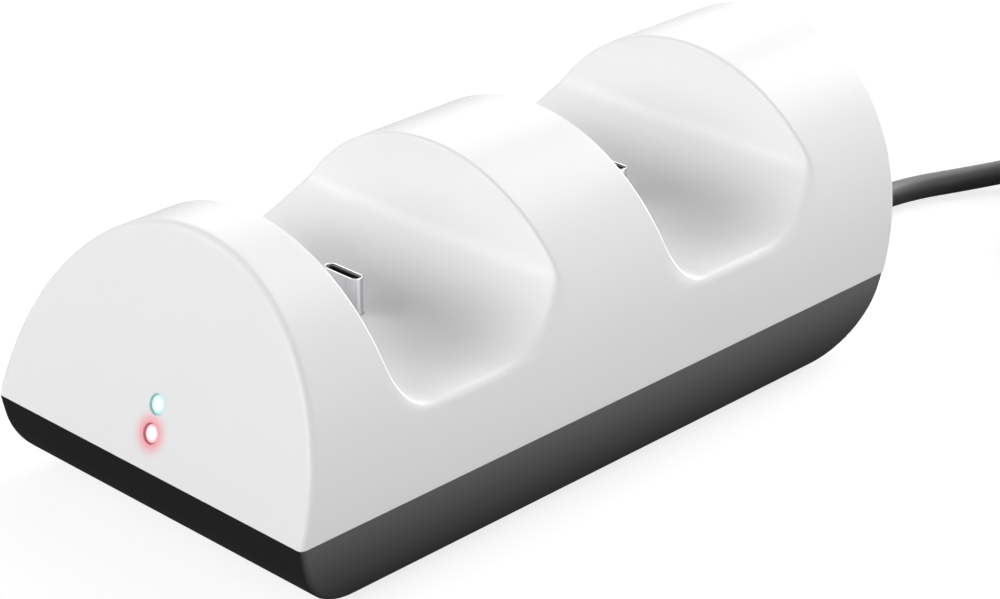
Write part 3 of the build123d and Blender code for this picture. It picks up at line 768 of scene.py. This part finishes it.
@dataclass
class TopShell:
    """White moulded cover with its walls, light holes and plug slots."""

    form: ShellForm = ShellForm()
    wall: float = 1.8
    light_heights: tuple[float, float] = (10.3, 5.7)
    light_hole: float = 1.75
    plug_setback: float = 19.8
    plug_size: tuple[float, float] = (8.25, 2.4)
    plug_gap: float = 0.15

    def face_point(self, height: float) -> np.ndarray:
        """Point in the middle of the front face at a height over the seam."""
        return np.array([0.0, self.form.front_y + self.form.lean * height, self.form.seam_z + height])

    def face_axes(self) -> tuple[np.ndarray, np.ndarray, np.ndarray]:
        """Across, up and outward directions of the front face."""
        tilt = math.radians(self.form.lean_degrees)
        up = np.array([0.0, math.sin(tilt), math.cos(tilt)])
        out = np.array([0.0, -math.cos(tilt), math.sin(tilt)])
        return np.array([1.0, 0.0, 0.0]), up, out

    def turned(self, height: float, radii: np.ndarray, depths: np.ndarray, places: int = 48) -> Surface:
        """A profile turned about a light's axis: radius by distance out of the face.

        Args:
            height: Height of the light over the seam.
            radii: Radius of each ring.
            depths: Distance of each ring out of the face.
            places: Points on each ring.

        Returns:
            The turned surface.
        """
        across, up, out = self.face_axes()
        turn = np.linspace(0, 2 * math.pi, places, endpoint=False)
        ring = np.cos(turn)[:, None] * across + np.sin(turn)[:, None] * up
        points = self.face_point(height) + radii[:, None, None] * ring + depths[:, None, None] * out
        return grid(points, round_columns=True)

    def plug_y(self, start: float) -> float:
        """Place of a pocket's plug along Y."""
        return self.form.front_y + start + self.plug_setback

    def build(self, material: bpy.types.Material) -> bpy.types.Object:
        """Closed shell: outer skin, inner skin and the seam between them, then its holes.

        Args:
            material: Finish of the shell.

        Returns:
            The finished piece.
        """
        outer = self.form.skin()
        hard = Softness(0.25, 0.25, 0.25, 0.25, 0.25)
        inner = ShellForm(hard, self.wall).skin()
        seam = []
        for skin in (outer, inner):
            seam.append(np.concatenate([skin[0, :-1], skin[:-1, -1], skin[-1, :0:-1], skin[:0:-1, 0]]))
        whole = joined(grid(outer), grid(inner), grid(np.stack(seam), round_columns=True))
        shell = to_piece("shell_skin", whole)
        cutters = []
        for k, height in enumerate(self.light_heights):
            radii = np.array([0.0, self.light_hole, self.light_hole, 0.0])
            depths = np.array([1.0, 1.0, -1.0, -1.0]) * 2 * self.wall
            cutters.append(to_piece(f"light_cutter_{k}", self.turned(height, radii, depths)))
        for k, start in enumerate(self.form.pocket_starts):
            room = 2 * self.plug_gap
            outline = stadium(self.plug_size[0] + room, self.plug_size[1] + room)
            rings = np.stack([outline * 0, outline, outline, outline * 0])
            floor = self.form.seam_z + self.form.pocket_floor
            heights = floor + np.array([1.0, 1.0, -1.0, -1.0]) * 2 * self.wall
            z = np.broadcast_to(heights[:, None, None], rings.shape[:2] + (1,))
            points = np.concatenate([rings + [0.0, self.plug_y(start)], z], -1)
            cutters.append(to_piece(f"plug_cutter_{k}", grid(points, round_columns=True)))
        cut_away(shell, cutters)
        shell.data.materials.append(material)
        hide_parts("top_shell")
        return shell

    def lens(self, name: str, height: float, material: bpy.types.Material) -> bpy.types.Object:
        """Clear light pipe of one light, with a softly rounded face set back in its hole.

        Args:
            name: Light's name, upper or lower.
            height: Its height over the seam.
            material: Its finish.

        Returns:
            The finished piece.
        """
        turn = np.linspace(0, math.pi / 2, 7)
        radii = np.concatenate([[0.0, 0.7], 1.45 + 0.25 * np.sin(turn), [1.7, 2.2, 2.2, 1.7, 1.7, 0.0]])
        face = np.concatenate([[-0.26, -0.28], -0.6 + 0.25 * np.cos(turn)])
        depths = np.concatenate([face, [-1.8, -1.8, -2.6, -2.6, -7.6, -7.6]])
        pipe = to_piece(f"{name}_lens", self.turned(height, radii, depths, 64))
        pipe.data.materials.append(material)
        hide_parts(f"{name}_light_pipe")
        return pipe


# ---- upright plugs ----


@dataclass
class UprightPlug:
    """Drawn metal plug shell with its black moulding, standing in a pocket."""

    name: str
    y: float
    tip_z: float = 34.85
    base_z: float = 20.4
    length: float = 8.25
    thickness: float = 2.4
    wall: float = 0.25
    recess: float = 0.25
    slot: tuple[float, float] = (6.8, 1.1)
    slot_depth: float = 5.6

    def rings(self, insets: np.ndarray, heights: np.ndarray) -> np.ndarray:
        """Round-ended outlines at several heights, each set in by its own amount."""
        outlines = [stadium(self.length - 2 * i, self.thickness - 2 * i) for i in insets]
        z = np.broadcast_to(heights[:, None, None], (len(heights), len(outlines[0]), 1))
        return np.concatenate([np.stack(outlines) + [0.0, self.y], z], -1)

    def build(self, metal: bpy.types.Material, black: bpy.types.Material) -> list[bpy.types.Object]:
        """Metal shell with a rolled tip, and the moulding in it with its rounded slot.

        Args:
            metal: Finish of the drawn shell.
            black: Finish of the moulding.

        Returns:
            The two finished pieces.
        """
        turn = np.linspace(0, math.pi, 13)
        roll = self.wall / 2
        insets = np.concatenate([[0.0], roll * (1 - np.cos(turn)), [self.wall]])
        heights = np.concatenate([[self.base_z], self.tip_z - roll + roll * np.sin(turn), [self.base_z]])
        tube = to_piece(f"{self.name}_plug_tube", grid(self.rings(insets, heights), True, True), 60.0)
        tube.data.materials.append(metal)
        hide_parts(f"{self.name}_plug_shell")

        top = self.tip_z - self.recess
        soft = 0.15
        quarter = np.linspace(0, math.pi / 2, 6)
        body = self.rings(np.array([self.wall + 0.002] * 2), np.array([self.base_z, top]))
        mouth = []
        for angle in quarter:
            grown = 2 * soft * (1 - math.sin(angle))
            outline = stadium(self.slot[0] + grown, self.slot[1] + grown)
            z = np.full((len(outline), 1), top - soft * (1 - math.cos(angle)))
            mouth.append(np.concatenate([outline + [0.0, self.y], z], -1))
        bottom = mouth[-1].copy()
        bottom[:, 2] = top - self.slot_depth
        middle = np.broadcast_to([0.0, self.y, top - self.slot_depth], bottom.shape)
        under = np.broadcast_to([0.0, self.y, self.base_z], bottom.shape)
        rows = np.stack([under, *body, *mouth, bottom, middle])
        insert = to_piece(f"{self.name}_plug_moulding", grid(rows, round_columns=True))
        insert.data.materials.append(black)
        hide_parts(f"{self.name}_plug_insert")
        return [tube, insert]


# ---- the free cord ----


def smooth_step(place: np.ndarray, start: float, run: float = 0.25) -> np.ndarray:
    """Smooth step from 0 to 1 that begins at a place and takes a run."""
    share = np.clip((place - start) / run, 0, 1)
    return share * share * (3 - 2 * share)


@dataclass
class FreeCord:
    """Round jacketed lead: out of its sleeve, along the desk, a tied coil and the run to its plug."""

    diameter: float = 4.8
    route: tuple[tuple[float, float, float], ...] = (
        (0.0, 76.051, 8.6),
        (0.0, 88.051, 8.6),
        (0.0, 103.0, 3.2),
        (0.3, 119.0, 2.45),
        (6.5, 132.5, 2.6),
        (12.8, 142.2, 3.9),
        (18.5, 149.8, 3.9),
    )
    coil_radius: float = 26.4
    coil_lead: float = 18.0
    pitch: float = 4.85
    turn_points: int = 18
    end_run: float = 8.0
    end_route: tuple[tuple[float, float, float], ...] = ((17.0, 0.3, 6.2), (26.0, 0.7, 4.1), (34.0, 1.2, 4.1))
    length: float = 1027.2

    def winding(self, turn: np.ndarray) -> tuple[np.ndarray, np.ndarray]:
        """Ring and layer of the coil at each place along it.

        Three rings inwards on the desk, up at the inmost ring, and three rings outwards on top. Each move
        is a smooth step over part of a turn, where the place that it moves to is free.

        Args:
            turn: Turns wound so far.

        Returns:
            Ring counted from the outside, and layer counted from the desk.
        """
        inwards = smooth_step(turn, 0.75) + smooth_step(turn, 1.75)
        outwards = smooth_step(turn, 3.3) + smooth_step(turn, 4.3)
        return inwards - outwards, smooth_step(turn, 2.5)

    def points(self) -> np.ndarray:
        """Control points of the lead, in millimetres.

        The coil's points stand round its circle on a polygon whose sides touch the circle.

        Returns:
            Array of points by three.
        """
        route = np.array(self.route)
        run = route[-1, :2] - route[-2, :2]
        heading = np.array([*(run / np.hypot(*run)), 0.0])
        beside = np.array([heading[1], -heading[0], 0.0])
        leaving, leaving_side = np.array([0.0, -1.0, 0.0]), np.array([1.0, 0.0, 0.0])
        outer = self.coil_radius + self.pitch
        touch = route[-1] + heading * self.coil_lead
        centre = touch + beside * outer
        turned = 5 * 2 * math.pi + math.acos(heading @ leaving)
        count = round(turned / (2 * math.pi) * self.turn_points)
        step = turned / count
        turn = (np.arange(count) + 0.5) * step
        ring, layer = self.winding(turn / (2 * math.pi))
        reach = (outer - ring * self.pitch)[:, None] / math.cos(step / 2)
        coil = centre + reach * (np.sin(turn)[:, None] * heading - np.cos(turn)[:, None] * beside)
        coil[:, 2] += layer * self.pitch
        leave = centre + leaving_side * outer + leaving * self.coil_lead + [0.0, 0.0, self.pitch]
        desk = leave * [1.0, 1.0, 0.0]
        end = [desk + leaving * a + leaving_side * b + [0.0, 0.0, z] for a, b, z in self.end_route]
        return np.concatenate([route, coil, [leave, leave + leaving * self.end_run], end])

    def build(self, material: bpy.types.Material, nodes: dict[str, bpy.types.Object]) -> bpy.types.Object:
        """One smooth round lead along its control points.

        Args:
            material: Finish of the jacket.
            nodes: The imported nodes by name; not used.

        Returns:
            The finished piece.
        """
        curve = bpy.data.curves.new("lead", "CURVE")
        curve.dimensions = "3D"
        curve.bevel_depth = self.diameter / 2 * MM
        curve.bevel_resolution = 7
        curve.use_fill_caps = True
        points = self.points() * MM
        line = curve.splines.new("NURBS")
        line.points.add(len(points) - 1)
        line.points.foreach_set("co", np.concatenate([points, np.ones((len(points), 1))], 1).ravel())
        line.order_u = 3
        line.use_endpoint_u = True
        line.resolution_u = 8
        lead = bpy.data.objects.new("lead", curve)
        bpy.context.scene.collection.objects.link(lead)
        curve.materials.append(material)
        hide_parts("cord", "cord_coil", "cord_end")
        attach(lead, BODY)
        return lead


# ---- the studio ----


@dataclass(frozen=True)
class Lamp:
    """Square soft lamp: its bearing from the front, its height angle in degrees and its power in watts."""

    name: str
    bearing: float
    height: float
    power: float


@dataclass
class Studio:
    """Pale floor, soft lamps and the camera."""

    camera_place: tuple[float, float, float] = (0.345, -0.34666, 0.25193)
    camera_turn: tuple[float, float, float] = (64.47, 0.0, 44.56)
    lens: float = 112.19
    ambient: float = 0.02
    reflected: float = 1.0
    lamp_distance: float = 1.4
    lamp_size: float = 0.7
    lamps: tuple[Lamp, ...] = (
        Lamp("rear_low", 180.0, 8.0, 19.9),
        Lamp("rear_middle", 180.0, 25.0, 5.9),
        Lamp("rear_high", 180.0, 50.0, 5.9),
        Lamp("front", 0.0, 25.0, 10.0),
        Lamp("right_low", 90.0, 8.0, 6.8),
        Lamp("right_rear", 135.0, 25.0, 1.6),
        Lamp("left_rear", -135.0, 30.0, 3.5),
        Lamp("left_front", -45.0, 25.0, 4.3),
        Lamp("left_high", -45.0, 50.0, 2.5),
    )
    floor_reach: float = 3000.0
    floor_grey: float = 0.47
    floor_seen_grey: float = 0.3
    floor_mirrored_grey: float = 0.02
    floor_glow: float = 0.8
    card_start: float = 34.0
    card_end: float = 66.0
    card_faint: float = 0.05
    card_strength: float = 2.2

    def floor(self) -> bpy.types.Object:
        """Wide pale floor that reads as white to the camera and keeps the dock's shadow.

        In reflections it is a pale card lying on the dock's right, and dark elsewhere.

        Returns:
            The floor, set apart from the dock.
        """
        across = np.linspace(-self.floor_reach, self.floor_reach, 3)
        x, y = np.meshgrid(across, across, indexing="ij")
        plane = to_piece("floor", grid(np.stack([x, y, np.zeros_like(x)], -1)))
        if plane.data.polygons[0].normal.z < 0:
            plane.data.flip_normals()
        material = bpy.data.materials.new("pale_floor")
        material.use_nodes = True
        nodes = Nodes(material.node_tree)
        path = nodes.add("ShaderNodeLightPath").outputs
        pale = nodes.mix(path["Is Camera Ray"], grey(self.floor_grey), grey(self.floor_seen_grey))
        tone = nodes.mix(path["Is Glossy Ray"], pale, grey(self.floor_mirrored_grey))
        place = nodes.add("ShaderNodeTexCoord").outputs["Object"]
        right = nodes.add("ShaderNodeSeparateXYZ", {0: place}).outputs["X"]
        card = nodes.add(
            "ShaderNodeMapRange",
            {
                "Value": right,
                1: self.card_start * MM,
                2: self.card_end * MM,
                3: self.card_faint,
                4: self.card_strength,
            },
        )
        seen = nodes.mix(path["Is Camera Ray"], grey(0.0), grey(self.floor_glow))
        glow = nodes.mix(path["Is Glossy Ray"], seen, card.outputs[0])
        shader = material.node_tree.nodes["Principled BSDF"]
        material.node_tree.links.new(tone, shader.inputs["Base Color"])
        material.node_tree.links.new(glow, shader.inputs["Emission Color"])
        shader.inputs["Emission Strength"].default_value = 1.0
        shader.inputs["Roughness"].default_value = 0.9
        shader.inputs["Specular IOR Level"].default_value = 0.0
        plane.data.materials.append(material)
        return plane

    def world(self) -> None:
        """White surroundings for the camera, and an even, lower light for reflections and the rest."""
        world = bpy.data.worlds.new("surroundings")
        bpy.context.scene.world = world
        world.use_nodes = True
        nodes = Nodes(world.node_tree)
        path = nodes.add("ShaderNodeLightPath").outputs
        mirrored = nodes.math("MAXIMUM", path["Is Glossy Ray"], path["Is Transmission Ray"])
        strength = nodes.spread(mirrored, self.ambient, self.reflected)
        strength = nodes.math("MAXIMUM", strength, path["Is Camera Ray"])
        background = world.node_tree.nodes["Background"]
        world.node_tree.links.new(strength, background.inputs["Strength"])
        background.inputs["Color"].default_value = (1.0, 1.0, 1.0, 1.0)

    def hang(self, lamp: Lamp) -> None:
        """Put up one lamp, facing the dock.

        Args:
            lamp: The lamp.
        """
        light = bpy.data.lights.new(lamp.name, "AREA")
        light.shape = "SQUARE"
        light.size = self.lamp_size
        light.energy = lamp.power
        hung = bpy.data.objects.new(lamp.name, light)
        bearing, height = math.radians(lamp.bearing), math.radians(lamp.height)
        out = self.lamp_distance * math.cos(height)
        up = self.lamp_distance * math.sin(height)
        hung.location = (out * math.sin(bearing), -out * math.cos(bearing), up)
        hung.rotation_euler = (math.pi / 2 - height, 0.0, bearing)
        bpy.context.scene.collection.objects.link(hung)

    def camera(self) -> None:
        """Camera at the dock's front right, above it."""
        data = bpy.data.cameras.new("camera")
        data.lens = self.lens
        data.sensor_width = 36.0
        camera = bpy.data.objects.new("camera", data)
        camera.location = self.camera_place
        camera.rotation_euler = tuple(math.radians(a) for a in self.camera_turn)
        bpy.context.scene.collection.objects.link(camera)
        bpy.context.scene.camera = camera

    def build(self) -> None:
        """Set up the camera, floor, surroundings and lamps."""
        bpy.context.scene.view_settings.view_transform = "Standard"
        self.camera()
        self.floor()
        self.world()
        for lamp in self.lamps:
            self.hang(lamp)


# ---- the whole dock ----


class Dock:
    """Every finish and piece of the dock."""

    def __init__(self, nodes: dict[str, bpy.types.Object]) -> None:
        """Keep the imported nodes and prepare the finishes.

        Args:
            nodes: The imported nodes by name.
        """
        self.nodes = nodes
        self.shell = TopShell()
        self.effects = Effects()
        upper, lower = (tuple(self.shell.face_point(h)) for h in self.shell.light_heights)
        white = Finish(
            "white_moulding_with_painted_glow",
            (0.88, 0.88, 0.885),
            (0.85, 0.85, 0.857),
            (0.3, 0.5),
            bump=0.05,
            specular=0.3,
            # Painted glow of the two lights on the white shell round them, pink round the lower and pale cyan
            # round the upper, in its base colour.
            painted_glows=(
                PaintedGlow(lower, 1.4, 5.2, (1.0, 0.36, 0.42), 0.95),
                PaintedGlow(upper, 1.5, 2.6, (0.62, 0.86, 0.86), 0.6),
            ),
        )
        finishes = {
            "shell": white,
            "tray": Finish(
                "dark_moulding", (0.011, 0.0105, 0.0118), (0.009, 0.0085, 0.0098), (0.34, 0.5), specular=0.5
            ),
            "foot_rubber": Finish(
                "foot_rubber", (0.03, 0.03, 0.031), (0.02, 0.02, 0.021), (0.7, 0.9), 1800.0, 0.15
            ),
            "screw_steel": Finish(
                "plated_steel", (0.55, 0.55, 0.56), (0.42, 0.42, 0.44), (0.25, 0.45), 2600.0, 0.08, metal=1.0
            ),
            "plug_steel": Finish(
                "drawn_steel",
                (0.8, 0.8, 0.81),
                (0.66, 0.66, 0.68),
                (0.16, 0.34),
                5200.0,
                0.04,
                pattern=Pattern.DRAWN,
                metal=1.0,
            ),
            "plug_black": Finish(
                "plug_moulding", (0.014, 0.014, 0.015), (0.009, 0.009, 0.01), (0.35, 0.55), 4200.0
            ),
            "contact_gold": Finish(
                "gold_plate", (0.9, 0.66, 0.26), (0.74, 0.5, 0.18), (0.18, 0.34), 5200.0, 0.04, metal=1.0
            ),
            "holder_black": Finish("holder_moulding", (0.04, 0.04, 0.042), (0.03, 0.03, 0.031), (0.45, 0.65)),
            "board_green": Finish(
                "solder_mask",
                (0.035, 0.24, 0.1),
                (0.02, 0.15, 0.06),
                (0.25, 0.42),
                420.0,
                0.3,
                pattern=Pattern.TRACKS,
            ),
            "chip_black": Finish("chip_moulding", (0.024, 0.024, 0.025), (0.016, 0.016, 0.017), (0.5, 0.7)),
            "inductor_grey": Finish(
                "ferrite", (0.13, 0.13, 0.135), (0.09, 0.09, 0.094), (0.6, 0.85), 2200.0, 0.15
            ),
            "header_ivory": Finish("header_moulding", (0.76, 0.72, 0.6), (0.66, 0.62, 0.5), (0.4, 0.6)),
            "emitter": Finish("emitter_resin", (0.92, 0.9, 0.74), (0.86, 0.82, 0.6), (0.15, 0.3)),
            "relief_rubber": Finish(
                "sleeve_rubber", (0.036, 0.036, 0.038), (0.026, 0.026, 0.028), (0.5, 0.7), 2400.0, 0.1
            ),
            "cord_jacket": Finish(
                "lead_jacket", (0.07, 0.07, 0.072), (0.054, 0.054, 0.056), (0.4, 0.6), 2600.0, 0.08
            ),
            "tie_black": Finish("tie_band", (0.022, 0.022, 0.023), (0.014, 0.014, 0.015), (0.4, 0.6)),
            "lead_red": Finish("red_insulation", (0.55, 0.03, 0.025), (0.42, 0.02, 0.018), (0.25, 0.4)),
            "lead_black": Finish("black_insulation", (0.02, 0.02, 0.02), (0.012, 0.012, 0.012), (0.25, 0.4)),
            "usb_grip": Finish(
                "grip_moulding", (0.03, 0.03, 0.032), (0.02, 0.02, 0.022), (0.5, 0.7), 2400.0, 0.12
            ),
            # The last colour of each lens is painted shade of the hole wall at its rim.
            "upper_lens": LensFinish(
                "upper_light", upper, (1.0, 1.0, 1.0), (0.55, 0.93, 0.9), (0.3, 0.46, 0.46), 0.8, 1.4, 1.72
            ),
            "lower_lens": LensFinish(
                "lower_light",
                lower,
                (1.0, 0.98, 0.98),
                (0.95, 0.6, 0.62),
                (0.32, 0.08, 0.1),
                0.95,
                1.35,
                1.72,
            ),
        }
        self.materials = {slot: finish.material(self.effects) for slot, finish in finishes.items()}

    def dress(self, record: dict) -> None:
        """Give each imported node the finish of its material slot.

        Args:
            record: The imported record.
        """
        for part in record["subparts"]:
            piece = self.nodes[part["node"]]
            for slot in piece.material_slots:
                slot.link = "OBJECT"
                slot.material = self.materials[part["material_slot"]]
            log.info("dressed %s in %s", part["node"], part["material_slot"])

    def build(self) -> None:
        """Build every new piece and let it ride on the dock."""
        pieces = [self.shell.build(self.materials["shell"])]
        for name, height in zip(("upper", "lower"), self.shell.light_heights):
            pieces.append(self.shell.lens(name, height, self.materials[f"{name}_lens"]))
        for name, start in zip(("front", "rear"), self.shell.form.pocket_starts):
            plug = UprightPlug(name, self.shell.plug_y(start))
            pieces += plug.build(self.materials["plug_steel"], self.materials["plug_black"])
        for piece in pieces:
            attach(piece, BODY)
            log.info("built %s with %d faces", piece.name, len(piece.data.polygons))
        lead = FreeCord().build(self.materials["cord_jacket"], self.nodes)
        log.info("built %s", lead.name)


def main() -> None:
    """Build the studio and the dock."""
    logging.basicConfig(level=logging.INFO, format="%(message)s")
    Studio().build()
    dock = Dock(frame["nodes"])
    dock.dress(frame["record"])
    dock.build()


if __name__ == "__main__":
    main()
